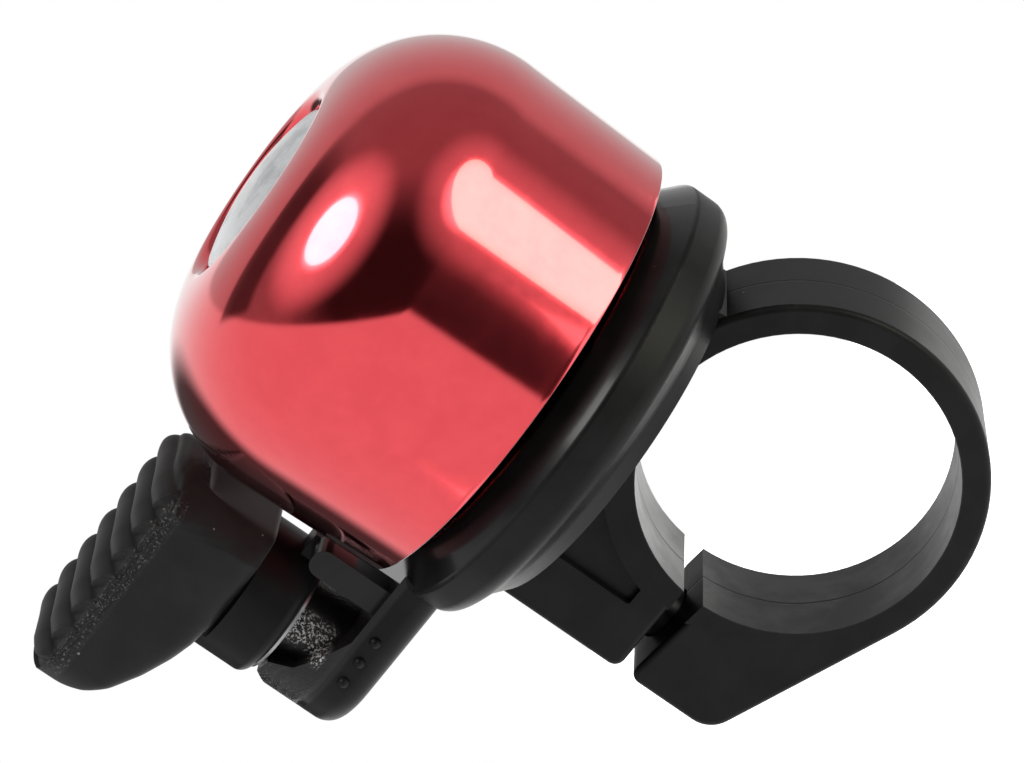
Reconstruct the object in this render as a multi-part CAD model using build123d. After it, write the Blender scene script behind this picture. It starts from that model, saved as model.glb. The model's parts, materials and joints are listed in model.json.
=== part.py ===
from build123d import *
import os
from math import cos, radians, sin, sqrt, tan

os.makedirs("parts", exist_ok=True)

# A small handlebar bell.  Millimetres.  The origin is the centre of the handlebar
# bore; Y runs along the handlebar, +Z towards the top of the dome, and the thumb
# lever and the clamp's split are on the -X side.

# ------------------------------------------------------------------ driving dimensions
# handlebar clamp
bar_d = 22.2               # handlebar diameter
strap_wall = 2.0           # thickness of the strap round the handlebar
strap_w = 9.4              # width of strap, saddle and end block along the handlebar
block_reach = 7.55         # from the bore out to the flat wall of saddle and end block
slit_w = 1.95              # open split between saddle and end block, at the bore
slit_end_w = 0.9           # the same split at the flat wall
slit_mid_z = 0.4
slope_deg = 22.0           # slope of the end block's underside
block_corner_r = 2.2
saddle_corner_r = 0.8
edge_r = 0.45              # softened outer edges
pocket_depth = 0.6         # shallow pocket sunk in each side of the saddle
pocket_wall = 4.5          # solid width left between the pocket and the flat wall

# tray under the dome
tray_over_bar = 0.5        # gap between handlebar and underside
tray_floor_t = 2.6
tray_h = 7.2               # underside to rim
tray_in = 0.4              # tray's radius inside the dome's radius
tray_foot_in = 3.7         # flat underside ends this far inside the tray's radius
tray_crest_h = 5.1         # underside to the crest of the outer wall
tray_wall = 2.8
rim_r = 0.5

# dome
dome_x = -6.1              # dome axis
dome_r = 17.3              # outside radius where the shoulder starts
mouth_taper = 0.3          # the mouth's radius is smaller by this
mouth_gap = 1.0            # from the tray's rim up to the mouth
dome_side_h = 11.1         # mouth to shoulder
shoulder_r = 10.4
dome_wall = 1.0
recess_r = 6.9             # round recess in the top
recess_depth = 2.1
roll_r = 0.9               # rolled edge round the recess
badge_crown = 1.0          # how much the badge's middle stands above its rim

# post and dome fixing
post_r = 4.4
bush_r = 4.2
bush_t = 0.8
neck_r = 3.0               # bush neck in the dome's hole
insert_r = 2.6
insert_h = 8.0
washer_t = 0.5

# lever arm of the base
arm_drop = 2.2             # arm's underside above the tray's underside
arm_t = 3.5
arm_r = 5.0                # half width and round end
arm_edge_r = 1.6
boss_h = 3.85              # seat of the pivot washer above the arm
boss_core_r = 3.6
pin_r = 1.5
pin_rise = 1.4             # pin's lower end above the arm's underside
pivot_washer_t = 0.2

# lever hub
hub_r = 5.35
hub_h = 10.0
hub_to_dome = 2.25
hub_wall = 1.3             # top and bottom walls
hub_side_wall = 1.65
hub_flat = 1.0             # cut off each side of the hub inside the grip
hub_edge_r = 0.8           # rounded bottom edge

# stop tab on the arm and the hub's ear that rests on it
tab_gap = 0.2              # tab to dome
tab_in = 0.7               # tab's front set back from the arm's front
tab_t = 2.1
tab_w = 2.4
tab_rise = 1.7             # above the hub's underside
ear_w = 2.2
ear_h = 2.0

# thumb grip
grip_reach = 13.2          # pivot axis to the tip
grip_skin = 0.3            # grip's half width beyond the hub's radius
grip_over_hub = 2.9        # top of the grip above the hub
skirt_h = 4.1              # bare hub below the blade
blade_inner = 4.0          # pivot axis to the blade's inner edge
hood_gap = 0.7             # hood to dome
rib_count = 7
rib_pitch = 2.42
rib_r = 1.2
rib_depth = 0.75

# hammer
hammer_y = 5.6
hammer_rise = 8.2          # above the hub's underside
hammer_r = 1.5
hammer_gap = 0.7           # nose to dome at rest
hammer_proud = 1.7         # nose beyond the hammer's arm
hammer_arm_h = 4.4
hammer_arm_t = 4.6
hammer_seat = 3.5          # length held in the arm

# clamp screw and nut
screw_r = 1.95             # 4 mm thread, also the dome screw
head_r = 3.5
head_h = 2.6
block_seat = 4.0           # washer seat below the split
nut_af = 7.0
nut_h = 3.2
nut_rise = 3.7             # nut above the split
clamp_washer_t = 0.6
screw_end = 1.8            # screw beyond the nut

# clearances
run_gap = 0.05             # between turning parts
fit_gap = 0.01             # radial gap of fixed fits
loose_gap = 0.2            # screw holes and drop-in pieces

# ------------------------------------------------------------------ derived places
bar_r = bar_d / 2
strap_r = bar_r + strap_wall
half_w = strap_w / 2
wall_x = -(bar_r + block_reach)
clamp_x = -(bar_r + block_reach / 2)
slit_lo = slit_mid_z - slit_w / 2
slit_hi = slit_mid_z + slit_w / 2

tray_r = dome_r - tray_in
tray_bottom_z = bar_r + tray_over_bar
tray_floor_z = tray_bottom_z + tray_floor_t
tray_rim_z = tray_bottom_z + tray_h

mouth_z = tray_rim_z + mouth_gap
shoulder_z = mouth_z + dome_side_h
recess_floor_z = shoulder_z + shoulder_r - recess_depth
post_top_z = recess_floor_z - dome_wall - bush_t

hub_x = dome_x - dome_r - hub_to_dome - hub_r
arm_bottom_z = tray_bottom_z + arm_drop
arm_top_z = arm_bottom_z + arm_t
boss_top_z = arm_top_z + boss_h
hub_bottom_z = boss_top_z + pivot_washer_t + run_gap
hub_top_z = hub_bottom_z + hub_h
cavity_r = hub_r - hub_side_wall

tab_x = dome_x - dome_r - tab_gap
tab_front_y = -arm_r + tab_in
tab_back_y = tab_front_y + tab_w

hammer_z = hub_bottom_z + hammer_rise
nose_x = dome_x - sqrt(dome_r**2 - hammer_y**2) - hammer_gap
hammer_arm_x = nose_x - hammer_proud

clamp_seat_z = slit_lo - block_seat
nut_z = slit_hi + nut_rise
dome_washer_r = bush_r + 0.4


# ------------------------------------------------------------------ helpers
def on_dome(shape):
    return Pos(dome_x, 0, 0) * shape


def on_hub(shape):
    return Pos(hub_x, 0, 0) * shape


def on_clamp(shape):
    return Pos(clamp_x, 0, 0) * shape


def disc(r, z0, z1):
    return Pos(0, 0, (z0 + z1) / 2) * Cylinder(r, z1 - z0)


def ring(r_out, r_in, z0, z1):
    return disc(r_out, z0, z1) - disc(r_in, z0 - 1, z1 + 1)


def box(x0, x1, y0, y1, z0, z1):
    return Pos((x0 + x1) / 2, (y0 + y1) / 2, (z0 + z1) / 2) * Box(x1 - x0, y1 - y0, z1 - z0)


def hexagon(across_flats, z0, z1):
    return Pos(0, 0, z0) * extrude(RegularPolygon(across_flats / 2, 6, major_radius=False), z1 - z0)


def side_plate(points, width):
    """A polygon in the XZ plane, given width along Y, centred on y = 0."""
    return extrude(Plane.XZ * make_face(Polyline(*points, close=True)), width / 2, both=True)


def round_bar(r, width):
    """A cylinder lying along the handlebar."""
    return Rot(90, 0, 0) * Cylinder(r, width)


def edges_at(shape, axis, value, tol=0.02):
    """Edges whose centre lies at a value along an axis."""
    return shape.edges().filter_by_position(axis, value - tol, value + tol)


def near(shapes, x, z):
    """The vertex or edge nearest to a place in the XZ plane."""
    return min(shapes, key=lambda v: abs(v.center().X - x) + abs(v.center().Z - z))


# ------------------------------------------------------------------ base moulding
def clamp_body():
    """Strap, end block and saddle: one outline as wide as the strap, with a split that narrows outwards."""
    a = radians(slope_deg)
    foot = (-strap_r * sin(a), -strap_r * cos(a))
    corner_z = foot[1] + (foot[0] - wall_x) * tan(a)
    end_z, saddle_z, inner_x = slit_hi - slit_end_w, tray_bottom_z + tray_floor_t / 2, -0.8 * bar_r
    block = side_plate([(wall_x, end_z), (wall_x, corner_z), foot, (0, 0), (inner_x, slit_lo)], strap_w)
    block = fillet(block.edges().filter_by(Axis.Y).sort_by(Axis.Z)[1], block_corner_r)
    block = fillet(near(block.edges().filter_by(Axis.Y), wall_x, end_z), saddle_corner_r)
    saddle = side_plate([(wall_x, slit_hi), (wall_x, saddle_z), (0, saddle_z), (0, 0), (-2, slit_hi)], strap_w)
    saddle = fillet(near(saddle.edges().filter_by(Axis.Y), wall_x, slit_hi), saddle_corner_r)
    web_x, web_z = 0.5 * strap_r, 0.8 * strap_r
    web = side_plate([(web_x / 2, saddle_z), (web_x, saddle_z), (web_x + 0.3, web_z), (web_x / 2, web_z)],
                     strap_w - 2 * edge_r)
    strap = fillet(edges_at(round_bar(strap_r, strap_w), Axis.Y, half_w), edge_r)
    strap = fillet(edges_at(strap, Axis.Y, -half_w), edge_r)
    split = side_plate([(wall_x, end_z), (inner_x, slit_lo), (inner_x, slit_hi), (wall_x, slit_hi)], strap_w + 2)
    return strap + soften(block) + soften(saddle) + web - round_bar(bar_r, strap_w + 2) - split


def soften(plate):
    """Rounds the long side edges of a strap-wide plate that lie outside the strap's circle."""
    rim = [e for e in plate.edges() if abs(abs(e.center().Y) - half_w) < 0.01
           and abs(e.center().X - wall_x) < 0.6 * block_reach and slit_lo + 0.1 > e.center().Z]
    wall = [e for e in plate.edges() if abs(abs(e.center().Y) - half_w) < 0.01
            and abs(e.center().X - wall_x) < 0.01 and e.center().Z > slit_lo + 0.1]
    return fillet(rim + wall, edge_r)


def pocket(side):
    """Shallow pocket in one side of the saddle, bounded by the strap's circle."""
    area = box(wall_x + pocket_wall, dome_x, -1, 1, slit_hi + 2.4, tray_bottom_z - 0.4)
    area -= round_bar(strap_r + 0.2, 4)
    area = fillet(area.edges().filter_by(Axis.Y).sort_by(Axis.Z)[0], 0.25)
    return Pos(0, side * (half_w + 1 - pocket_depth), 0) * area


def tray():
    """Shallow dish: flat foot, coved skirt, upright wall and a smooth rim that slopes in under the dome."""
    r, z = tray_r, tray_bottom_z
    cove, shoulder, crest = (r - 2.2, z + 1.4), (r, z + 2.5), (r, z + tray_crest_h)
    rim = (r - tray_wall + 0.7, tray_rim_z)
    outline = Polyline((0, z), (r - tray_foot_in, z), cove, shoulder, crest, rim, (r - tray_wall + 0.1, tray_rim_z),
                       (r - tray_wall, tray_floor_z), (0, tray_floor_z), close=True)
    face = make_face(Plane.XZ * outline)
    for corner, radius in ((cove, 2.0), (shoulder, 1.2), (crest, rim_r), (rim, 0.3)):
        face = fillet([near(face.vertices(), *corner)], radius)
    return on_dome(revolve(face, Axis.Z, 360))


def post():
    """Central post with four low ribs and the bore for its insert."""
    ribs = [Rot(0, 0, 45 + 90 * i) * box(0, post_r + 2.1, -0.6, 0.6, tray_floor_z - 1, tray_floor_z + 4)
            for i in range(4)]
    body = disc(post_r, tray_floor_z - 1, post_top_z) + ribs
    return on_dome(body - disc(insert_r + fit_gap, post_top_z - insert_h, post_top_z + 1))


def lever_arm():
    """Arm under the lever, with the seat round the pivot pin cut down to a ramp in front."""
    bar = box(hub_x, dome_x - tray_r + tray_wall - 0.7, -arm_r, arm_r, arm_bottom_z, arm_top_z)
    bar += on_hub(disc(arm_r, arm_bottom_z, arm_top_z))
    rim = [e for e in edges_at(bar, Axis.Z, arm_bottom_z) if e.center().X < dome_x - tray_r + tray_wall - 1]
    bar = fillet(rim, arm_edge_r)
    seat = side_plate([(hub_x - arm_r - 1, arm_top_z - 0.5), (hub_x - arm_r - 1, boss_top_z - 3.1),
                       (hub_x - 3.3, boss_top_z - 0.1), (hub_x - 1.9, boss_top_z - 0.1),
                       (hub_x - 1.1, arm_top_z + 2.1), (hub_x + 1.2, arm_top_z + 0.8),
                       (hub_x + 3.0, arm_top_z), (hub_x + 3.0, arm_top_z - 0.5)], 2 * arm_r)
    seat &= on_hub(disc(arm_r, arm_top_z - 1, boss_top_z)) + box(hub_x, hub_x + 3, -arm_r, arm_r, arm_top_z - 1, boss_top_z)
    core = on_hub(disc(boss_core_r, arm_top_z - 0.5, boss_top_z))
    dots = [Pos(hub_x + 4.0 - 1.9 * i, -arm_r, arm_top_z - 1.3) * Sphere(0.42) for i in range(3)]
    return bar + seat + core + dots


def stop_tab():
    top_z = hub_bottom_z + tab_rise
    tab = box(tab_x - tab_t, tab_x, tab_front_y, tab_back_y, arm_top_z - 1, top_z)
    return fillet(edges_at(tab, Axis.Z, top_z).filter_by(Axis.Y), 0.45 * tab_t)


def base():
    body = clamp_body() - pocket(-1) - pocket(1)
    body = body + tray() + post() + lever_arm() + stop_tab()
    body -= on_hub(disc(pin_r + fit_gap, arm_bottom_z + pin_rise, boss_top_z + 1))
    body -= round_bar(bar_r, strap_w + 0.002)
    # clamp screw: clearance hole, head counterbore from below, nut slot from the wall
    body -= on_clamp(disc(screw_r + loose_gap, -strap_r, nut_z + nut_h + screw_end + 0.6))
    body -= on_clamp(disc(head_r + loose_gap + 0.3, -strap_r, clamp_seat_z))
    nut_w, nut_top = nut_af / 2 + fit_gap, nut_z + nut_h + loose_gap
    return body - on_clamp(hexagon(2 * nut_w, nut_z, nut_top) + box(wall_x - clamp_x - 1, 0, -nut_w, nut_w, nut_z, nut_top))


# ------------------------------------------------------------------ dome and its fixing
def dome():
    """Thin bell: slightly tapered side, round shoulder and a rolled-in recess."""
    centre_x = dome_r - shoulder_r
    x_roll = recess_r + roll_r

    def shoulder(radius):
        rise = sqrt(radius**2 - (x_roll - centre_x)**2)
        half = radians(40)
        return ThreePointArc((centre_x + radius, shoulder_z),
                             (centre_x + radius * cos(half), shoulder_z + radius * sin(half)),
                             (x_roll, shoulder_z + rise))

    outer, inner = shoulder(shoulder_r), shoulder(shoulder_r - dome_wall)
    top = outer @ 1
    roll_end = (recess_r, top.Y - roll_r)
    roll = ThreePointArc(top, (x_roll - 0.707 * roll_r, top.Y - 0.293 * roll_r), roll_end)
    mouth_r, hole_r, under_z = dome_r - mouth_taper, neck_r + fit_gap, recess_floor_z - dome_wall
    outline = Curve() + [
        Line((mouth_r, mouth_z), outer @ 0), outer, roll,
        Polyline(roll_end, (recess_r, recess_floor_z), (hole_r, recess_floor_z), (hole_r, under_z),
                 (x_roll, under_z), inner @ 1),
        inner,
        Polyline(inner @ 0, (mouth_r - dome_wall, mouth_z), (mouth_r, mouth_z)),
    ]
    return on_dome(revolve(make_face(Plane.XZ * outline), Axis.Z, 360))


def dome_bush():
    body = disc(bush_r, post_top_z, post_top_z + bush_t) + disc(neck_r, post_top_z, recess_floor_z)
    return on_dome(body - disc(screw_r + loose_gap, post_top_z - 1, recess_floor_z + 1))


def dome_insert():
    return on_dome(ring(insert_r, screw_r + fit_gap, post_top_z - insert_h, post_top_z))


def dome_washer():
    return on_dome(ring(dome_washer_r, screw_r + loose_gap, recess_floor_z, recess_floor_z + washer_t))


def dome_screw():
    """Pan-head screw with a cross recess, driven down into the insert."""
    seat, rise, r = recess_floor_z + washer_t, 1.2, screw_r + 1.35
    head = disc(r, seat, seat + rise)
    head = fillet(edges_at(head, Axis.Z, seat + rise), 0.45 * rise)
    slot = box(-r / 2, r / 2, -0.4, 0.4, seat + 0.35 * rise, seat + rise + 1)
    low = post_top_z - insert_h + 0.5
    shank = disc(screw_r, low, seat)
    shank = chamfer(edges_at(shank, Axis.Z, low), 0.4)
    return on_dome(shank + head - slot - Rot(0, 0, 90) * slot)


def badge_cap():
    """Convex cap pressed into the recess over the screw head."""
    cap_r, hollow_r = recess_r - 0.35, dome_washer_r + 0.3
    rim_z = recess_floor_z + 1.55
    crown_z = rim_z + badge_crown
    top = ThreePointArc((0, crown_z), (cap_r / 2, crown_z - 0.26 * badge_crown), (cap_r, rim_z))
    outline = Curve() + [top, Polyline((cap_r, rim_z), (cap_r, recess_floor_z), (hollow_r, recess_floor_z),
                                       (hollow_r, rim_z + 0.1), (0, rim_z + 0.3), (0, crown_z))]
    face = make_face(Plane.XZ * outline)
    return on_dome(revolve(fillet([near(face.vertices(), cap_r, rim_z)], 0.3), Axis.Z, 360))


# ------------------------------------------------------------------ clamp fixing
def clamp_nut():
    trim = Cone(nut_af / 2 + 3.2, nut_af / 2 + 0.2, nut_h, align=(Align.CENTER, Align.CENTER, Align.MIN))
    body = hexagon(nut_af, 0, nut_h) & trim
    return on_clamp(Pos(0, 0, nut_z) * (body - disc(screw_r + fit_gap, -1, nut_h + 1)))


def clamp_washer():
    return on_clamp(ring(head_r + 0.3, screw_r + loose_gap, clamp_seat_z - clamp_washer_t, clamp_seat_z))


def clamp_screw():
    """Socket-head screw pushed up through the end block into the nut."""
    seat, end = clamp_seat_z - clamp_washer_t, nut_z + nut_h + screw_end
    head = disc(head_r, seat - head_h, seat)
    head = fillet(edges_at(head, Axis.Z, seat - head_h), 0.5)
    shank = disc(screw_r, seat, end)
    shank = chamfer(edges_at(shank, Axis.Z, end), 0.4)
    return on_clamp(head + shank - hexagon(3.0, seat - head_h - 1, seat - head_h / 2))


# ------------------------------------------------------------------ lever and its pivot
def hammer_line(shape):
    """Turns a shape built along Z to lie along X on the hammer's axis."""
    return Pos(0, hammer_y, hammer_z) * Rot(0, 90, 0) * shape


def lever():
    """Hollow hub with the spring room inside, the hammer's arm, the stop ear and the blade's core."""
    body = disc(hub_r, hub_bottom_z, hub_top_z)
    body = on_hub(fillet(edges_at(body, Axis.Z, hub_bottom_z), hub_edge_r))
    for side in (-1, 1):
        y = side * (hub_r - hub_flat)
        body -= box(hub_x - hub_r, hub_x + blade_inner - 0.6, min(y, 2 * y), max(y, 2 * y),
                    hub_bottom_z + skirt_h, hub_top_z + 1)
    arm = box(hub_x + 1, hammer_arm_x, hammer_y - hammer_arm_t / 2, hammer_y + hammer_arm_t / 2,
              hammer_z - hammer_arm_h / 2, hammer_z + hammer_arm_h / 2)
    arm = fillet(arm.edges().filter_by(Axis.Z).sort_by(Axis.X)[-2:], 1.2)
    ear_y = tab_back_y + run_gap
    ear = box(hub_x + hub_r / 2, tab_x - 0.5, ear_y, ear_y + ear_w, hub_bottom_z, hub_bottom_z + ear_h)
    core = box(hub_x - grip_reach + 4.2, hub_x, -1.6, 1.6, hub_bottom_z + 6.2, hub_top_z)
    body = body + arm + ear + core
    body -= on_hub(disc(cavity_r, hub_bottom_z + hub_wall, hub_top_z - hub_wall))
    body -= on_hub(disc(pin_r + run_gap, hub_bottom_z - 1, hub_top_z + 1))
    return body - hammer_line(disc(hammer_r + fit_gap, hammer_arm_x - hammer_seat, hammer_arm_x + 1))


def hammer():
    pin = disc(hammer_r, hammer_arm_x - hammer_seat, nose_x)
    pin = fillet(edges_at(pin, Axis.Z, nose_x), 0.8 * hammer_r)
    return hammer_line(pin + disc(hammer_r + 0.6, hammer_arm_x, hammer_arm_x + 0.8))


def thumb_grip():
    """Soft hood over the hub with a ribbed blade reaching out to the thumb."""
    low, top = hub_bottom_z + skirt_h, hub_top_z + grip_over_hub
    tip_x = hub_x - grip_reach
    hood_r = hub_r + hub_to_dome - hood_gap
    hood_z = hub_top_z - 0.4
    half = hub_r + grip_skin
    body = side_plate([(hub_x + blade_inner, hood_z), (hub_x + blade_inner, low), (hub_x - 3.6, low),
                       (hub_x - 7.6, low + 1.7), (tip_x + 1.6, low + 4.1), (tip_x, low + 6.1),
                       (tip_x + 0.3, top), (hub_x + hood_r, top), (hub_x + hood_r, hood_z)], 2 * half)
    body = fillet(body.edges().filter_by(Axis.Y).group_by(Axis.X)[0], 1.2)
    plan = on_hub(disc(hood_r, low - 1, top + 1))
    plan += box(tip_x + 3.5, hub_x, -half, half, low - 1, top + 1)
    plan += Pos(tip_x + half + 1.2, 0, 0) * disc(half + 1.2, low - 1, top + 1)
    body = body & plan
    for i in range(rib_count):
        x = hub_x + blade_inner - 0.6 - rib_pitch * i
        body -= Pos(x, 0, top + rib_r - rib_depth) * round_bar(rib_r, 2 * half + 4)
    body -= on_hub(disc(hub_r + fit_gap, low - 1, hub_top_z)) - side_pads(low)
    body -= on_hub(disc(3.6, low, hub_top_z + 1.1))
    body -= box(hub_x - grip_reach + 4.2 - fit_gap, hub_x, -1.6 - fit_gap, 1.6 + fit_gap,
                hub_bottom_z + 6.2 - fit_gap, hub_top_z)
    return body - box(hub_x + 1 - loose_gap, hub_x + 20, hammer_y - hammer_arm_t / 2 - loose_gap, 20,
                      hammer_z - hammer_arm_h / 2 - loose_gap, hammer_z + hammer_arm_h / 2 + loose_gap)


def side_pads(low):
    """The two strips of grip that fill the flats cut on the hub."""
    y = hub_r - hub_flat + fit_gap
    x0, x1 = hub_x - hub_r - 1, hub_x + blade_inner - 0.6 - fit_gap
    return (box(x0, x1, y, 2 * y, low, hub_top_z) + box(x0, x1, -2 * y, -y, low, hub_top_z))


def pivot_pin():
    top = hub_top_z + 0.9
    body = disc(pin_r, arm_bottom_z + pin_rise, top)
    return on_hub(chamfer(edges_at(body, Axis.Z, top), 0.3))


def pivot_washer():
    return on_hub(ring(hub_r - hub_edge_r, pin_r + loose_gap, boss_top_z, boss_top_z + pivot_washer_t))


def pivot_clip():
    """Push-on star washer that keeps the hub on its pin."""
    z0 = hub_top_z + run_gap
    body = ring(3.1, pin_r + fit_gap, z0, z0 + 0.45)
    for i in range(6):
        body -= Rot(0, 0, 60 * i) * box(pin_r, 2.3, -0.35, 0.35, z0 - 1, z0 + 2)
    return on_hub(body)


def return_spring():
    """Torsion spring wound round the pin inside the hub."""
    wire_r, turns = 0.35, 5
    coil_r = (pin_r + cavity_r) / 2
    z0 = hub_bottom_z + hub_wall + 0.6
    height = hub_h - 2 * hub_wall - 2.4
    path = Helix(height / turns, height, coil_r)
    section = Plane(path @ 0, z_dir=path % 0) * Circle(wire_r)
    return on_hub(Pos(0, 0, z0) * sweep(section, path=path, is_frenet=True))


for make in (base, dome, dome_bush, dome_insert, dome_washer, dome_screw, badge_cap,
             clamp_nut, clamp_washer, clamp_screw, lever, hammer, thumb_grip,
             pivot_pin, pivot_washer, pivot_clip, return_spring):
    export_step(make(), f"parts/{make.__name__}.step")
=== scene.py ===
import bpy
import json
import math
import numpy as np
from mathutils import Matrix, Vector


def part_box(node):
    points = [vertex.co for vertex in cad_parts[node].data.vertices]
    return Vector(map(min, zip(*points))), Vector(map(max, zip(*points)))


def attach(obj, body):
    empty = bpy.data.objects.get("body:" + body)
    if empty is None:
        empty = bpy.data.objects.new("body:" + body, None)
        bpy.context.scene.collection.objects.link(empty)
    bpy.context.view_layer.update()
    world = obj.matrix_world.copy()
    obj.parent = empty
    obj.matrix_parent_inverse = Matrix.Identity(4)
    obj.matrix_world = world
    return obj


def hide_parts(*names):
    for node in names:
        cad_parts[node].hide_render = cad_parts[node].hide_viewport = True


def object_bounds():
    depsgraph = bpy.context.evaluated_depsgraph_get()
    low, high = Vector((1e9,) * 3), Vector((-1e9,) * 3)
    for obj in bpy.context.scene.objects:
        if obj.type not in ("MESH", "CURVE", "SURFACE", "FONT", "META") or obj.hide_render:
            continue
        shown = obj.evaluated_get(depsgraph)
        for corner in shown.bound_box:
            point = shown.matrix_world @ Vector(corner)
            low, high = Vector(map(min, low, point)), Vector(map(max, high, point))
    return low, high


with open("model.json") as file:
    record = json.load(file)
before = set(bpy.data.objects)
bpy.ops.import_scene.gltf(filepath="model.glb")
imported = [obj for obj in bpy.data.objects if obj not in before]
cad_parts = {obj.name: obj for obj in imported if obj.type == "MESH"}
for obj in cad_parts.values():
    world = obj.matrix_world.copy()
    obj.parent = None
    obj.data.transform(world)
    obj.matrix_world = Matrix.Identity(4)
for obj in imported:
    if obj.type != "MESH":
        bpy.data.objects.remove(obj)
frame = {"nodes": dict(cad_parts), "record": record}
cad_low, cad_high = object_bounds()


# ---------------------------------------------------------------- base moulding
# One black glass-filled nylon moulding: strap, end block, saddle, tray and lever arm.
# It comes out of a two-part mould, so it has a fine spark-eroded grain, a flash line
# along the middle of the strap, and a tray rim that was left smooth.
MM = 0.001


def middle_x(node):
    """Half way between a CAD node's lowest and highest x."""
    low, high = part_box(node)
    return (low.x + high.x) / 2


dome_low, dome_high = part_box("dome")
dome_x = middle_x("dome")
hub_x = middle_x("pivot_pin")
mouth_z = dome_low.z
strap_wide = frame["record"]["mounts"][0]["dims"]["length_mm"] * MM
bar_r = frame["record"]["mounts"][0]["dims"]["r_mm"] * MM

# Where the marks on the moulding start and stop: flash line, tray rim, the hub's seat and the
# ramp beside it, and the strap's split.
flash_top_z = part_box("base")[0].z + 24.4 * MM
rim_r = 12.5 * MM
rim_z = mouth_z - 3.05 * MM
seat_x = hub_x + 3.7 * MM
seat_z = mouth_z - 2.45 * MM
ramp_y = -2.9 * MM
ramp_z = mouth_z - 1.7 * MM
split_x = -9.5 * MM
split_low_z = -0.6 * MM
split_high_z = 1.39 * MM


class Wiring:
    """Short calls for placing and joining the nodes of one node tree."""

    def __init__(self, tree):
        self.tree = tree

    def put(self, kind, settings=None, **values):
        """Adds a node; a value is a socket's number, colour or another node's output."""
        node = self.tree.nodes.new("ShaderNode" + kind)
        for name, value in (settings or {}).items():
            setattr(node, name, value)
        for name, value in values.items():
            key = int(name[1:]) if name[0] == "_" else name.replace("_", " ")
            self.feed(node.inputs[key], value)
        return node

    def feed(self, socket, value):
        """Links an output to the socket, or sets the socket's own number or colour."""
        if isinstance(value, bpy.types.NodeSocket):
            self.tree.links.new(value, socket)
        else:
            socket.default_value = value

    def math(self, what, *values):
        node = self.put("Math", {"operation": what})
        for socket, value in zip(node.inputs, values):
            self.feed(socket, value)
        return node.outputs[0]

    def times(self, first, *others):
        """The product of all its values."""
        for other in others:
            first = self.math("MULTIPLY", first, other)
        return first

    def distance(self, x, y):
        """How far the point (x, y) is from nought."""
        return self.math("SQRT", self.math("ADD", self.times(x, x), self.times(y, y)))

    def ramp(self, value, low, high, out_low=0.0, out_high=1.0):
        """A smooth step from out_low to out_high as the value goes from low to high."""
        node = self.put("MapRange", {"interpolation_type": "SMOOTHSTEP"}, Value=value, From_Min=low,
                        From_Max=high, To_Min=out_low, To_Max=out_high)
        return node.outputs["Result"]

    def above(self, value, edge, soft):
        """Nought to one as the value rises past the edge, within soft on either side of it."""
        return self.ramp(value, edge - soft, edge + soft)

    def below(self, value, edge, soft):
        """Nought to one as the value falls past the edge, within soft on either side of it."""
        return self.ramp(value, edge + soft, edge - soft)

    def blend(self, share, first, second):
        node = self.put("Mix", {"data_type": "RGBA"})
        for key, value in ((0, share), (6, first), (7, second)):
            self.feed(node.inputs[key], value)
        return node.outputs[2]

    def noise(self, where, scale, detail=3.0, rough=0.5):
        """Cloudy noise about 0.5; scale is in patches to the metre."""
        node = self.put("TexNoise", None, Vector=where, Scale=scale, Detail=detail, Roughness=rough)
        return node.outputs["Fac"]


def new_group(name, inputs, outputs):
    """A shader group with named sockets; gives its wiring, its inputs and its output node."""
    tree = bpy.data.node_groups.new(name, "ShaderNodeTree")
    for label, kind, default in inputs:
        socket = tree.interface.new_socket(label, in_out="INPUT", socket_type="NodeSocket" + kind)
        if default is not None:
            socket.default_value = default
    for label, kind in outputs:
        tree.interface.new_socket(label, in_out="OUTPUT", socket_type="NodeSocket" + kind)
    return Wiring(tree), tree.nodes.new("NodeGroupInput").outputs, tree.nodes.new("NodeGroupOutput").inputs


def mould_grain_group():
    """Moulded black: cloudy colour, a grain of fine bumps, and a few pale dust specks, which are
    the middles of a rare few of the cells."""
    w, given, out = new_group(
        "mould_grain",
        [("Where", "Vector", None), ("Deep", "Color", (0, 0, 0, 1)), ("Pale", "Color", (0, 0, 0, 1)),
         ("Grain Scale", "Float", 5000.0), ("Gloss", "Float", 0.4), ("Dust", "Float", 0.5)],
        [("Color", "Color"), ("Roughness", "Float"), ("Height", "Float")])
    cloud = w.noise(given["Where"], 260.0, 4.0, 0.6)
    grain = w.noise(given["Where"], given["Grain Scale"], 2.0, 0.6)
    cells = w.put("TexVoronoi", {"feature": "F1"}, Vector=given["Where"], Scale=900.0)
    middle = w.below(cells.outputs["Distance"], 0.08, 0.03)
    rare = w.above(w.put("SeparateColor", None, Color=cells.outputs["Color"]).outputs[0], 0.95, 0.02)
    speck = w.times(middle, rare, given["Dust"])
    tone = w.blend(w.above(cloud, 0.5, 0.2), given["Deep"], given["Pale"])
    w.feed(out["Color"], w.blend(speck, tone, (0.3, 0.3, 0.29, 1)))
    patchy = w.math("ADD", given["Gloss"], w.times(w.math("SUBTRACT", cloud, 0.5), 0.16))
    w.feed(out["Roughness"], w.math("ADD", patchy, w.times(speck, 0.3)))
    w.feed(out["Height"], w.math("ADD", grain, w.times(speck, 1.5)))
    return w.tree


mould_grain = mould_grain_group()


def new_finish(name, **plain):
    """A material with its own shader, and the wiring to feed it; plain values sit on the shader."""
    finish = bpy.data.materials.new(name)
    finish.use_nodes = True
    w = Wiring(finish.node_tree)
    shader = finish.node_tree.nodes["Principled BSDF"]
    for label, value in plain.items():
        shader.inputs[label.replace("_", " ")].default_value = value
    where = w.put("TexCoord").outputs["Object"]
    return finish, w, shader, where


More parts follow.
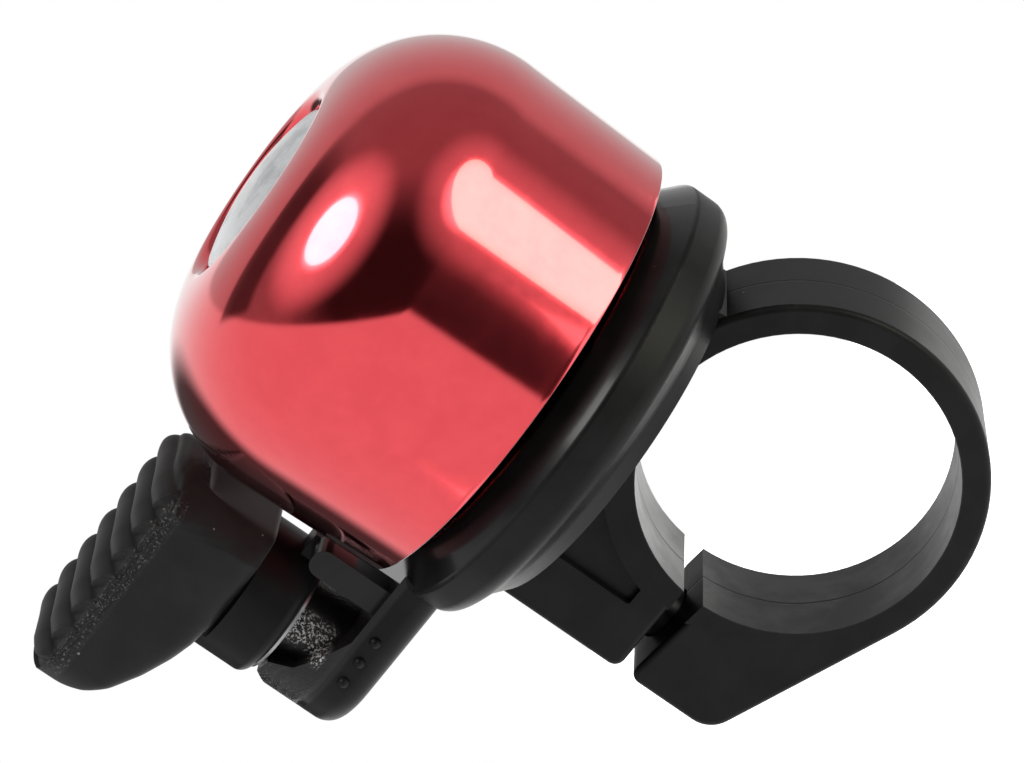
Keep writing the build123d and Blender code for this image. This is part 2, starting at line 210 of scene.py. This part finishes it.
def moulded(name, deep, pale, gloss, grain=5000.0, depth=0.012, dust=0.5, **plain):
    """A finish of moulded plastic or rubber: mould_grain feeding the shader."""
    finish, w, shader, where = new_finish(name, **plain)
    node = w.put("Group", {"node_tree": mould_grain}, Where=where, Deep=(*deep, 1), Pale=(*pale, 1),
                 Grain_Scale=grain, Gloss=gloss, Dust=dust)
    bump = w.put("Bump", None, Strength=0.35, Distance=depth * MM, Height=node.outputs["Height"])
    w.feed(shader.inputs["Base Color"], node.outputs["Color"])
    w.feed(shader.inputs["Roughness"], node.outputs["Roughness"])
    w.feed(shader.inputs["Normal"], bump.outputs["Normal"])
    return finish, w, shader, where, node, bump


def base_finish():
    """Mould grain all over. The flash line is a wandering band about y = 0, below the tray, sunk as
    a groove and painted darker as its shade. The tray's rim and the hub's seat are smoother, and
    the seat's ramp has rough bumps and pale specks painted in as glints, a painted highlight. The
    bore has a patchy sheen, and the walls of the strap's split are painted darker as shade."""
    finish, w, shader, where, grain, bump = moulded(
        "black_nylon", (0.0038, 0.0038, 0.004), (0.007, 0.007, 0.0074), 0.4, Specular_IOR_Level=0.1,
        Coat_Roughness=0.3)
    x, y, z = w.put("SeparateXYZ", None, Vector=where).outputs
    from_post = w.distance(w.math("SUBTRACT", x, dome_x), y)
    from_bar = w.distance(x, z)
    wander = w.times(w.math("SUBTRACT", w.noise(where, 150.0, 2.0), 0.5), 0.5 * MM)
    flash_and_shade = w.times(w.below(w.math("ABSOLUTE", w.math("ADD", y, wander)), 0.1 * MM, 0.05 * MM),
                    w.below(z, flash_top_z, 0.2 * MM))
    rim = w.times(w.above(z, rim_z, 0.15 * MM), w.above(from_post, rim_r, 0.5 * MM))
    seat = w.times(w.below(x, seat_x, 0.3 * MM), w.above(z, seat_z, 0.25 * MM))
    ramp = w.times(w.below(y, ramp_y, 0.3 * MM), w.above(x, hub_x, 0.4 * MM), w.above(z, ramp_z, 0.2 * MM))
    split_shade = w.times(w.above(from_bar, bar_r + 0.65 * MM, 0.55 * MM), w.above(z, split_low_z, 0.15 * MM),
                    w.below(z, split_high_z, 0.03 * MM), w.below(x, split_x, 0.5 * MM),
                    w.below(w.math("ABSOLUTE", y), strap_wide / 2 - 0.08 * MM, 0.07 * MM))
    bore = w.times(w.below(from_bar, bar_r + 0.06 * MM, 0.03 * MM),
                   w.ramp(w.noise(where, 240.0, 4.0, 0.6), 0.35, 0.7, 0.22, 0.5))
    sheen = w.math("MAXIMUM", bore, w.times(rim, 0.25))
    w.feed(shader.inputs["Coat Weight"], w.times(sheen, w.math("SUBTRACT", 1.0, flash_and_shade)))
    # Painted shade: the flash line's groove is painted darker as its shade, besides being sunk.
    tone = w.blend(flash_and_shade, grain.outputs["Color"], (0.004, 0.004, 0.004, 1))
    # Painted shade: the walls of the strap's split are painted near black as shade.
    tone = w.blend(split_shade, tone, (0.0015, 0.0015, 0.0015, 1))
    # Painted highlight: pale specks on the seat's ramp are painted glints.
    painted_glints = w.times(seat, ramp, w.above(w.noise(where, 4800.0, 3.0, 0.7), 0.56, 0.06))
    w.feed(shader.inputs["Base Color"], w.blend(painted_glints, tone, (0.5, 0.5, 0.5, 1)))
    polish = w.ramp(w.math("MAXIMUM", rim, w.times(seat, 0.6)), 0.0, 1.0, 1.0, 0.36)
    w.feed(shader.inputs["Roughness"], w.times(grain.outputs["Roughness"], polish))
    # Heights count in the grain's own depth.
    fine = w.times(grain.outputs["Height"], w.ramp(rim, 0.0, 1.0, 1.0, 0.25))
    coarse = w.times(w.noise(where, 2200.0, 4.0, 0.7), seat, 30.0)
    sunk = w.math("SUBTRACT", fine, w.times(flash_and_shade, 6.0))
    w.feed(bump.inputs["Height"], w.math("ADD", sunk, coarse))
    return finish


def dress(node, finish):
    """Gives a CAD node its finish."""
    mesh = frame["nodes"][node].data
    mesh.materials.clear()
    mesh.materials.append(finish)


dress("base", base_finish())


# ---------------------------------------------------------------- sounding dome
# The bell itself: thin aluminium, drawn and spun, polished to a mirror and anodised red.
# Its rolled-in recess takes the badge, and the mouth edge is cut square and lightly broken.
dome_r = (dome_high.x - dome_low.x) / 2
shoulder_r = 10.4 * MM
shoulder_z = mouth_z + 11.1 * MM
recess_r = 6.9 * MM
recess_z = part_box("badge_cap")[0].z
corner_r = 0.25 * MM
roll_r = 0.9 * MM
sheet_t = 1.0 * MM
neck_r = 3.02 * MM
mouth_r = dome_r - 0.3 * MM
lip_r = 0.06 * MM
turns = 288


def arc(centre, radius, start, end, count):
    """Points of a circle's arc in the (r, z) plane, from one angle in degrees to another."""
    a = np.radians(np.linspace(start, end, count))
    return np.stack([centre[0] + radius * np.cos(a), centre[1] + radius * np.sin(a)], -1)


def run(first, last, count):
    """Points of a straight line in the (r, z) plane, both ends included."""
    return np.linspace(first, last, count)


def spin(line, x, steps):
    """A line of (r, z) points turned about the upright axis at x: point (x + r cos t, r sin t, z)."""
    t = np.linspace(0, 2 * np.pi, steps, endpoint=False)
    r, z = line[:, :1], line[:, 1:]
    return np.stack([x + r * np.cos(t), r * np.sin(t), z + 0 * t], -1)


def skin(name, grid, finish, body, ends="caps"):
    """A closed mesh over a grid of points: each row is a ring, and neighbouring rows are joined by
    quads. The first and last rows are joined too ("loop") or each closed on its middle ("caps")."""
    rows, cols = grid.shape[:2]
    index = np.arange(rows * cols).reshape(rows, cols)
    low, high = (index, np.roll(index, -1, 0)) if ends == "loop" else (index[:-1], index[1:])
    faces = np.stack([low, np.roll(low, -1, 1), np.roll(high, -1, 1), high], -1).reshape(-1, 4).tolist()
    points = grid.reshape(-1, 3)
    if ends == "caps":
        points = np.concatenate([points, grid[:1].mean(1), grid[-1:].mean(1)])
        for ring, middle in ((index[0][::-1], rows * cols), (index[-1], rows * cols + 1)):
            faces += np.stack([ring, np.roll(ring, -1), np.full(cols, middle)], -1).tolist()
    mesh = bpy.data.meshes.new(name)
    mesh.from_pydata(points.tolist(), [], faces)
    mesh.polygons.foreach_set("use_smooth", np.ones(len(faces), bool))
    mesh.materials.append(finish)
    piece = bpy.data.objects.new(name, mesh)
    bpy.context.collection.objects.link(piece)
    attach(piece, body)
    return piece


def turned_group():
    """Height is rings about an upright axis: noise read along the distance from the axis only.
    Streak is cloudy wear over the whole surface."""
    w, given, out = new_group(
        "turned_rings", [("Where", "Vector", None), ("Axis X", "Float", 0.0), ("Fineness", "Float", 9000.0)],
        [("Height", "Float"), ("Streak", "Float")])
    x, y, z = w.put("SeparateXYZ", None, Vector=given["Where"]).outputs
    r = w.distance(w.math("SUBTRACT", x, given["Axis X"]), y)
    along = w.put("CombineXYZ", None, X=r, Z=z).outputs[0]
    w.feed(out["Height"], w.noise(along, given["Fineness"], 2.0, 0.6))
    w.feed(out["Streak"], w.noise(given["Where"], 420.0, 5.0, 0.65))
    return w.tree


turned_rings = turned_group()


def anodised_finish():
    """Red dyed mirror: the dye a little deeper in patches, faint polishing rings, and the mouth's cut edge
    painted dark as shade.
    """
    finish, w, shader, where = new_finish("red_anodised", Metallic=1.0, Coat_Weight=1.0, Coat_Roughness=0.05,
                                          Coat_IOR=1.52)
    node = w.put("Group", {"node_tree": turned_rings}, Where=where, Axis_X=dome_x, Fineness=2600.0)
    streak = node.outputs["Streak"]
    tone = w.blend(w.above(streak, 0.5, 0.2), (0.80, 0.044, 0.062, 1), (0.84, 0.056, 0.072, 1))
    z = w.put("SeparateXYZ", None, Vector=where).outputs["Z"]
    # Painted shade: the mouth's cut edge is painted dark red.
    edge = w.below(z, mouth_z + 0.075 * MM, 0.045 * MM)
    w.feed(shader.inputs["Base Color"], w.blend(edge, tone, (0.2, 0.02, 0.03, 1)))
    w.feed(shader.inputs["Roughness"], w.ramp(streak, 0.25, 0.75, 0.075, 0.11))
    bump = w.put("Bump", None, Strength=0.05, Distance=0.002 * MM, Height=node.outputs["Height"])
    w.feed(shader.inputs["Normal"], bump.outputs["Normal"])
    return finish


# The outline goes from the mouth's outer edge up the wall, over the shoulder, down into the
# recess and in to the neck, then back to the mouth along the inside.
flat_in = dome_r - shoulder_r
roll_a = math.degrees(math.acos((recess_r + roll_r - flat_in) / shoulder_r))
crest = arc((flat_in, shoulder_z), shoulder_r, 0, roll_a, 110)
inner = arc((flat_in, shoulder_z), shoulder_r - sheet_t, roll_a - 1, 0, 60)
roll = arc((recess_r + roll_r, crest[-1, 1] - roll_r), roll_r, 90, 180, 24)
inner_r = mouth_r - sheet_t
roof_z = recess_z - sheet_t
dome_line = np.concatenate([
    arc((mouth_r - lip_r, mouth_z + lip_r), lip_r, -90, 0, 8),
    run((mouth_r, mouth_z + 0.3 * MM), crest[0], 60)[:-1],
    crest,
    roll[1:],
    run(roll[-1], (recess_r, recess_z), 6)[1:-1],
    arc((recess_r - corner_r, recess_z + corner_r), corner_r, 0, -90, 6),
    run((recess_r - 0.6 * MM, recess_z), (neck_r, recess_z), 8),
    run((neck_r, roof_z), (inner[0, 0], roof_z), 10),
    inner[1:],
    run(inner[-1], (inner_r, mouth_z + 0.2 * MM), 40)[1:],
    arc((inner_r + lip_r, mouth_z + lip_r), lip_r, 180, 270, 6)])
dome = skin("dome_shell", spin(dome_line, dome_x, turns), anodised_finish(), "base",
            ends="loop")
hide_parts("dome")


# ---------------------------------------------------------------- badge
# A shallow convex cap of satin aluminium, blanked and turned, pushed into the recess over
# the screw. Its rim is rounded over and its face keeps fine turning rings.
badge_low, badge_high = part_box("badge_cap")
badge_r = (badge_high.x - badge_low.x) / 2
badge_edge_r = 0.35 * MM
chamfer = 0.1 * MM
crown_h = 1.0 * MM
crown_foot_z = badge_high.z - crown_h
hollow_r = 4.9 * MM


def satin_finish():
    """Turned silver: rings about the axis, cloudy polish and a few darker rubs."""
    finish, w, shader, where = new_finish("satin_silver", Metallic=1.0, Anisotropic=0.3)
    node = w.put("Group", {"node_tree": turned_rings}, Where=where, Axis_X=dome_x, Fineness=7000.0)
    rub = w.ramp(w.noise(where, 190.0, 5.0, 0.7), 0.46, 0.68)
    w.feed(shader.inputs["Base Color"], w.blend(rub, (0.86, 0.87, 0.88, 1), (0.6, 0.61, 0.63, 1)))
    w.feed(shader.inputs["Roughness"], w.ramp(node.outputs["Streak"], 0.2, 0.8, 0.26, 0.42))
    bump = w.put("Bump", None, Strength=0.3, Distance=0.006 * MM, Height=node.outputs["Height"])
    w.feed(shader.inputs["Normal"], bump.outputs["Normal"])
    return finish


# The crown is an arc that rises by crown_h over the whole badge, from the middle out to its rim;
# the outline starts under it, in the hollow over the screw.
crown_r = (badge_r**2 + crown_h**2) / (2 * crown_h)
crown_a = math.degrees(math.asin((badge_r - 0.3 * MM) / crown_r))
crown = arc((0, badge_high.z - crown_r), crown_r, 90 - 0.4, 90 - crown_a, 60)
badge_line = np.concatenate([
    [(0.05 * MM, crown_foot_z + 0.3 * MM), (hollow_r - 0.3 * MM, crown_foot_z + 0.15 * MM),
     (hollow_r, crown_foot_z)],
    run((hollow_r, badge_low.z), (badge_r - chamfer, badge_low.z), 5),
    run((badge_r, badge_low.z + chamfer), (badge_r, crown_foot_z - badge_edge_r), 8),
    arc((badge_r - badge_edge_r, crown[-1, 1] - 0.36 * MM), badge_edge_r, 0, 80, 12),
    crown[::-1]])
badge = skin("badge_disc", spin(badge_line, dome_x, 200), satin_finish(), "base")
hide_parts("badge_cap")


# ---------------------------------------------------------------- dome fixing
# Under the badge: a zinc plated pan-head screw and washer, the flanged nylon bush that lets
# the dome ring, and the knurled brass insert moulded into the post.
def machined(name, tone, dark, rough, axis_x):
    """Turned or drawn metal: rings about the axis at axis_x, and duller patches."""
    finish, w, shader, where = new_finish(name, Metallic=1.0)
    node = w.put("Group", {"node_tree": turned_rings}, Where=where, Axis_X=axis_x, Fineness=6000.0)
    streak = node.outputs["Streak"]
    w.feed(shader.inputs["Base Color"], w.blend(w.ramp(streak, 0.35, 0.7), (*tone, 1), (*dark, 1)))
    w.feed(shader.inputs["Roughness"], w.ramp(streak, 0.2, 0.8, rough - 0.06, rough + 0.1))
    bump = w.put("Bump", None, Strength=0.3, Distance=0.008 * MM, Height=node.outputs["Height"])
    w.feed(shader.inputs["Normal"], bump.outputs["Normal"])
    return finish


zinc = machined("zinc_plate", (0.66, 0.68, 0.7), (0.5, 0.51, 0.55), 0.3, dome_x)
dress("dome_screw", zinc)
dress("dome_washer", zinc)
dress("dome_insert", machined("turned_brass", (0.76, 0.58, 0.28), (0.55, 0.4, 0.18), 0.28, dome_x))
dress("dome_bush", moulded("grey_nylon", (0.05, 0.05, 0.052), (0.08, 0.08, 0.082), 0.45)[0])


# ---------------------------------------------------------------- clamp fixing
# A black socket-head screw and washer come up through the end block into a plated hex nut
# that sits in a slot in the saddle, and draw the split together.
clamp_x = middle_x("clamp_screw")
black_oxide = machined("black_oxide", (0.018, 0.018, 0.02), (0.01, 0.01, 0.011), 0.36, clamp_x)
dress("clamp_screw", black_oxide)
dress("clamp_washer", black_oxide)
dress("clamp_nut", machined("zinc_nut", (0.6, 0.61, 0.62), (0.45, 0.46, 0.49), 0.32, clamp_x))


# ---------------------------------------------------------------- lever hub and pivot
# The lever is a black acetal moulding: a hub that turns on a steel pin, with the hammer's
# arm at the back. A thin steel washer, a push-on clip and a torsion spring go with the pin.
dress("lever", moulded("black_acetal", (0.0036, 0.0036, 0.0038), (0.006, 0.006, 0.0064), 0.42, depth=0.008,
                       dust=0.3, Specular_IOR_Level=0.1)[0])
bright_steel = machined("bright_steel", (0.7, 0.7, 0.71), (0.55, 0.55, 0.57), 0.22, hub_x)
for node in ("pivot_pin", "pivot_clip"):
    dress(node, bright_steel)
dress("pivot_washer", machined("washer_steel", (0.34, 0.34, 0.35), (0.24, 0.24, 0.25), 0.3, hub_x))
dress("return_spring", machined("spring_wire", (0.5, 0.5, 0.52), (0.36, 0.36, 0.38), 0.3, hub_x))


# ---------------------------------------------------------------- hammer
# A turned steel striker with a domed nose and a thin collar, pressed into the lever's arm.
dress("hammer", machined("turned_steel", (0.62, 0.62, 0.64), (0.48, 0.48, 0.5), 0.26, hub_x))


# ---------------------------------------------------------------- thumb grip
# A soft rubber hood moulded over the hub. Its top is a row of rounded lobes with sharp valleys
# along the handlebar, cut off like shingles above the smooth flat sides; the tip is rounded.
hood_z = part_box("thumb_grip")[0].z
hood_r = 6.55 * MM
side_y = 5.45 * MM
front_drop = 0.75 * MM
back_rise = 0.25 * MM
first_rib = 4.85 * MM
rib_pitch = 2.5 * MM
lobe_h = 0.66 * MM
valley_h = 0.30 * MM
bevel_h = 0.32 * MM


def smooth(value, low, high):
    """Nought below low, one above high, and a smooth step between."""
    s = np.clip((value - low) / (high - low), 0, 1)
    return s * s * (3 - 2 * s)


def follow(points, share):
    """Points at the given shares of the length of a line that bends through the points."""
    points = np.array(points, float)
    far = np.concatenate([[0], np.cumsum(np.hypot(*np.diff(points, axis=0).T))])
    return np.stack([np.interp(share * far[-1], far, points[:, i]) for i in (0, 1)], -1)


def eased(points, share, spread):
    """The same line with its corners eased by averaging neighbours along it."""
    line = follow(points, share)
    kernel = np.ones(spread) / spread
    padded = np.pad(line, ((spread // 2, spread // 2), (0, 0)), mode="edge")
    return np.stack([np.convolve(padded[:, i], kernel, "valid") for i in (0, 1)], -1)


def rounded_end(ring, way_out, radius, count=7):
    """Rings that carry on from an end ring and turn in by the radius, as a quarter round edge:
    out by r sin a along x, and in by r (1 - cos a) towards the ring's middle."""
    a = np.linspace(0, np.pi / 2, count + 1)[1:, None, None]
    middle = (ring.max(0) + ring.min(0)) / 2
    half = (ring.max(0) - ring.min(0)) / 2
    shrink = 1 - np.minimum(radius * (1 - np.cos(a)) / np.maximum(half, 1e-6), 0.9)
    shrink[..., 0] = 1
    turned = middle + (ring - middle) * shrink
    turned[..., 0] += way_out * radius * np.sin(a[..., 0])
    return turned


def grip_surface(columns, rings):
    """Ring s goes round the grip from underside to top: y = w c, and height between the underside
    and top lines by (1 + s) / 2, where (c, s) is a rounded square. The width w narrows as half an
    ellipse at the tip. The lobes lift the top by lobe(x) = height * |sin|^0.55 of the valley
    spacing, and stop at a saw-toothed line on the bevel. Both lines start at the hub and end at
    the tip, as (x from the pivot, z from the hood's foot) in millimetres."""
    share = np.linspace(0, 1, columns)
    under = eased([(6.35, 6.45), (6.25, 6.25), (6.0, 6.1), (5.7, 5.8), (5.55, 0.25), (5.3, 0.0),
                   (-2.0, 0.05), (-4.0, 0.35), (-6.0, 1.0), (-8.1, 1.85), (-10.3, 3.1),
                   (-11.7, 4.25), (-12.6, 5.5), (-13.15, 6.7), (-13.35, 7.4)], share, 5) * MM
    over = eased([(6.45, 6.9), (6.3, 7.8), (5.7, 8.55), (4.7, 8.95), (1.0, 9.0), (-10.0, 8.95),
                  (-11.9, 8.85), (-12.8, 8.5), (-13.25, 8.05), (-13.4, 7.65)], share, 7) * MM

    # The rounded square, and the two lines joined by it.
    t = np.linspace(0, 2 * np.pi, rings, endpoint=False)
    c = np.sign(np.cos(t)) * np.abs(np.cos(t))**0.25
    s = np.sign(np.sin(t)) * np.abs(np.sin(t))**0.25
    up = (1 + s) / 2
    x = under[:, :1] * (1 - up) + over[:, :1] * up
    z = under[:, 1:] * (1 - up) + over[:, 1:] * up
    out = -x

    # Seen from above: round over the hub, straight sides, and half an ellipse at the tip.
    wide = np.minimum(side_y, np.sqrt(hood_r**2 - np.clip(x, 0, hood_r * 0.995)**2))
    tip = np.clip((out - 9.9 * MM) / (3.6 * MM), 0, 0.985)
    wide = wide * np.sqrt(1 - tip**2)
    y = wide * c

    # The underside is crowned; the top falls towards the front and rises a little at the back.
    z = z - 0.4 * MM * (1 - c**2) * smooth(-s, 0.5, 1.0) * smooth(out, 3 * MM, 6 * MM) * (1 - tip)
    high = smooth(s, 0.4, 0.95)
    tilt = back_rise * smooth(y, 1 * MM, side_y) - front_drop * smooth(-y, 0.5 * MM, side_y)
    z = z + tilt * high
    top_z = over[:, 1:] + tilt

    # Phase counts the valleys from the first one, and saw is the share of the lobe that is past.
    phase = (out + first_rib) / rib_pitch
    saw = phase - np.floor(phase)
    lobe = np.abs(np.sin(np.pi * saw**0.85))**0.55
    lobe = np.where(phase < 0, np.clip(-phase * 1.8, 0, 1)**0.5, lobe)

    # The way across the top from the back edge, and then down the front, says where a lobe ends.
    round_front = (wide - y) + np.maximum(top_z - z, 0) * (y < 0)
    end = 2 * wide + (0.65 - 2.7 * np.where(phase < 0, 0.0, saw)) * MM
    on_top = 1 - smooth(round_front, end - 0.09 * MM, end + 0.09 * MM)
    on_top = on_top * (1 - smooth(over[:, 1:] - z, 1.1 * MM, 1.5 * MM) * (y > 0)) * smooth(s, -0.2, 0.0)
    lift = (lobe_h * lobe - valley_h) * (1 - smooth(out, 11.6 * MM, 12.6 * MM)) * on_top
    past_bevel = smooth(round_front, 2 * wide + 0.8 * MM, 2 * wide + 2.0 * MM)
    lift = lift - bevel_h * (1 - on_top) * (1 - past_bevel) * high
    y = y + np.sign(c) * lift * smooth(np.abs(y), 0.93 * wide, wide) * 0.7
    z = z + lift * high
    grid = np.stack([hub_x + x, y, hood_z + z], -1)
    nose = rounded_end(grid[-1], -1, 0.1 * MM)
    return np.concatenate([rounded_end(grid[0], 1, 0.15 * MM)[::-1], grid, nose])


def rubber_finish():
    """Matt rubber, cloudy, with a rough torn edge where the lobes stop: a band of height on the
    front side, with coarse bumps, a little gloss and pale specks painted in as glints, a painted highlight."""
    finish, w, shader, where, grain, bump = moulded(
        "soft_rubber", (0.006, 0.006, 0.0062), (0.0105, 0.0105, 0.011), 0.56, grain=4200.0, depth=0.014,
        Specular_IOR_Level=0.14, Sheen_Weight=0.07, Sheen_Roughness=0.45)
    y, z = w.put("SeparateXYZ", None, Vector=where).outputs[1:]
    torn = w.times(w.above(z, hood_z + 6.65 * MM, 0.25 * MM), w.below(z, hood_z + 7.85 * MM, 0.15 * MM),
                   w.below(y, -4.65 * MM, 0.25 * MM))
    rough = w.times(w.noise(where, 2600.0, 3.0, 0.7), torn, 24.0)
    w.feed(bump.inputs["Height"], w.math("ADD", grain.outputs["Height"], rough))
    # Painted highlight: pale specks along the torn edge are painted glints.
    painted_glint = w.times(torn, w.above(w.noise(where, 5600.0, 3.0, 0.7), 0.61, 0.05))
    w.feed(shader.inputs["Base Color"], w.blend(painted_glint, grain.outputs["Color"], (0.1, 0.1, 0.1, 1)))
    w.feed(shader.inputs["Roughness"], w.math("SUBTRACT", grain.outputs["Roughness"], w.times(torn, 0.22)))
    return finish


grip = skin("grip_hood", grip_surface(300, 290)[:, ::-1], rubber_finish(), "lever")
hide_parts("thumb_grip")


# ---------------------------------------------------------------- studio
# A pale floor well under the bell, a round softbox on the left and an oval one on the right, a
# white sweep behind and below, and a dim room in front; a long lens looks a little down on the
# bell and is rolled well over.
azimuth, elevation, roll_over = (math.radians(a) for a in (19.8, 11.3, -55.2))
aim = Vector((-7.3, 0.0, 19.0)) * MM
distance = 308.5 * MM
back = Vector((math.sin(azimuth) * math.cos(elevation),
               -math.cos(azimuth) * math.cos(elevation), math.sin(elevation)))
level = Vector((math.cos(azimuth), math.sin(azimuth), 0.0))
right = level * math.cos(roll_over) + back.cross(level) * math.sin(roll_over)
up = back.cross(right)
camera = bpy.data.objects.new("studio_camera", bpy.data.cameras.new("studio_camera"))
camera_turn = Matrix((right, up, back)).transposed().to_4x4()
camera.matrix_world = Matrix.Translation(aim + back * distance) @ camera_turn
camera.data.lens, camera.data.sensor_width = 158.2, 36.0
camera.data.clip_start, camera.data.clip_end = 0.01, 20.0
bpy.context.collection.objects.link(camera)
bpy.context.scene.camera = camera


def way(side_deg, height_deg):
    """A direction seen from the bell: degrees to the camera's right, and degrees up."""
    a, e = math.radians(side_deg), math.radians(height_deg)
    return right * math.sin(a) * math.cos(e) + up * math.sin(e) + back * math.cos(a) * math.cos(e)


def softbox(name, side_deg, height_deg, half_angle, stretch, radiance, tint):
    """A soft light seen from the bell as an oval: its half angle, and its height over its width."""
    far = 0.6
    lamp = bpy.data.lights.new(name, "AREA")
    lamp.shape, lamp.color = "ELLIPSE", tint
    lamp.size = 2 * far * math.tan(math.radians(half_angle))
    lamp.size_y = lamp.size * stretch
    area = math.pi * lamp.size * lamp.size_y / 4
    lamp.energy = radiance * math.pi * area
    light = bpy.data.objects.new(name, lamp)
    out = way(side_deg, height_deg)
    side = out.cross(up).normalized()
    light.matrix_world = (Matrix.Translation(aim + out * far)
                          @ Matrix((side, out.cross(side), out)).transposed().to_4x4())
    bpy.context.collection.objects.link(light)


left_way = (-52, 30)
right_way = (46, 31)
softbox("left_softbox", *left_way, 13.5, 1.0, 6.5, (1.0, 1.0, 0.93))
softbox("right_softbox", *right_way, 14.0, 1.35, 4.6, (1.0, 0.98, 0.68))


def room_light():
    """Pale behind and below, dim in front, with a wide and a narrow glow round each softbox. A
    grey curtain hangs on the left, and the corner behind and below it is nearly dark. What the
    camera sees directly is at least plain white."""
    world = bpy.data.worlds.new("studio")
    world.use_nodes = True
    w = Wiring(world.node_tree)
    facing = w.put("TexCoord").outputs["Generated"]

    def towards(direction, low, high, out_low=0.0, out_high=1.0):
        """A smooth step on the cosine of the angle between the ray and the direction."""
        dot = w.put("VectorMath", {"operation": "DOT_PRODUCT"}, _0=facing, _1=tuple(direction))
        return w.ramp(dot.outputs["Value"], low, high, out_low, out_high)

    table_way = Vector(right * -0.06 - up * 0.93 - back * 0.3).normalized()
    bright = w.math("MAXIMUM", w.times(towards(-back, 0.08, 0.42), 0.58),
                    w.times(towards(table_way, 0.0, 0.06), 0.95))
    dim = towards(way(-8, -2), 0.5, 0.92, 0.32, 0.03)
    for spot, low, high, strength in ((left_way, 0.80, 0.96, 0.75), (left_way, 0.955, 0.975, 2.5),
                                      ((45, 31), 0.80, 0.96, 0.45), ((45, 31), 0.94, 0.975, 1.6)):
        dim = w.math("ADD", dim, towards(way(*spot), low, high, 0.0, strength))
    curtain = w.times(towards(way(-6, 0), -0.30, -0.26), towards(way(-6, 0), 0.12, 0.02),
                      towards(way(-98, 16), 0.75, 0.92), towards(up, 0.06, 0.12))
    light = w.times(w.math("MAXIMUM", dim, bright), w.math("SUBTRACT", 1.0, w.times(curtain, 0.75)),
                    towards(way(-152, -24), 0.88, 0.95, 1.0, 0.08))
    seen = w.put("LightPath").outputs["Is Camera Ray"]
    node = world.node_tree.nodes["Background"]
    w.feed(node.inputs["Color"], (1, 1, 1, 1))
    w.feed(node.inputs["Strength"], w.math("MAXIMUM", light, seen))
    bpy.context.scene.world = world


room_light()
bpy.context.scene.view_settings.view_transform = "Standard"

floor_z = cad_low.z - 60 * MM
floor_half = 0.28
ticks = np.linspace(-floor_half, floor_half, 9)
across, along = np.meshgrid(ticks, ticks)
corner = np.arange(across.size).reshape(across.shape)
quads = np.stack([corner[:-1, :-1], corner[:-1, 1:], corner[1:, 1:], corner[1:, :-1]], -1).reshape(-1, 4)
floor_points = np.stack([across, along, across * 0 + floor_z], -1).reshape(-1, 3)
floor_mesh = bpy.data.meshes.new("floor")
floor_mesh.from_pydata(floor_points.tolist(), [], quads.tolist())
floor = bpy.data.objects.new("floor", floor_mesh)
bpy.context.collection.objects.link(floor)
floor_finish, w, shader, where = new_finish("pale_floor", Emission_Color=(1, 1, 1, 1), Emission_Strength=0.9,
                                            Roughness=0.8)
pale_cloud = w.blend(w.noise(where, 3.0), (0.88, 0.88, 0.88, 1), (0.92, 0.92, 0.92, 1))
w.feed(shader.inputs["Base Color"], pale_cloud)
floor_mesh.materials.append(floor_finish)
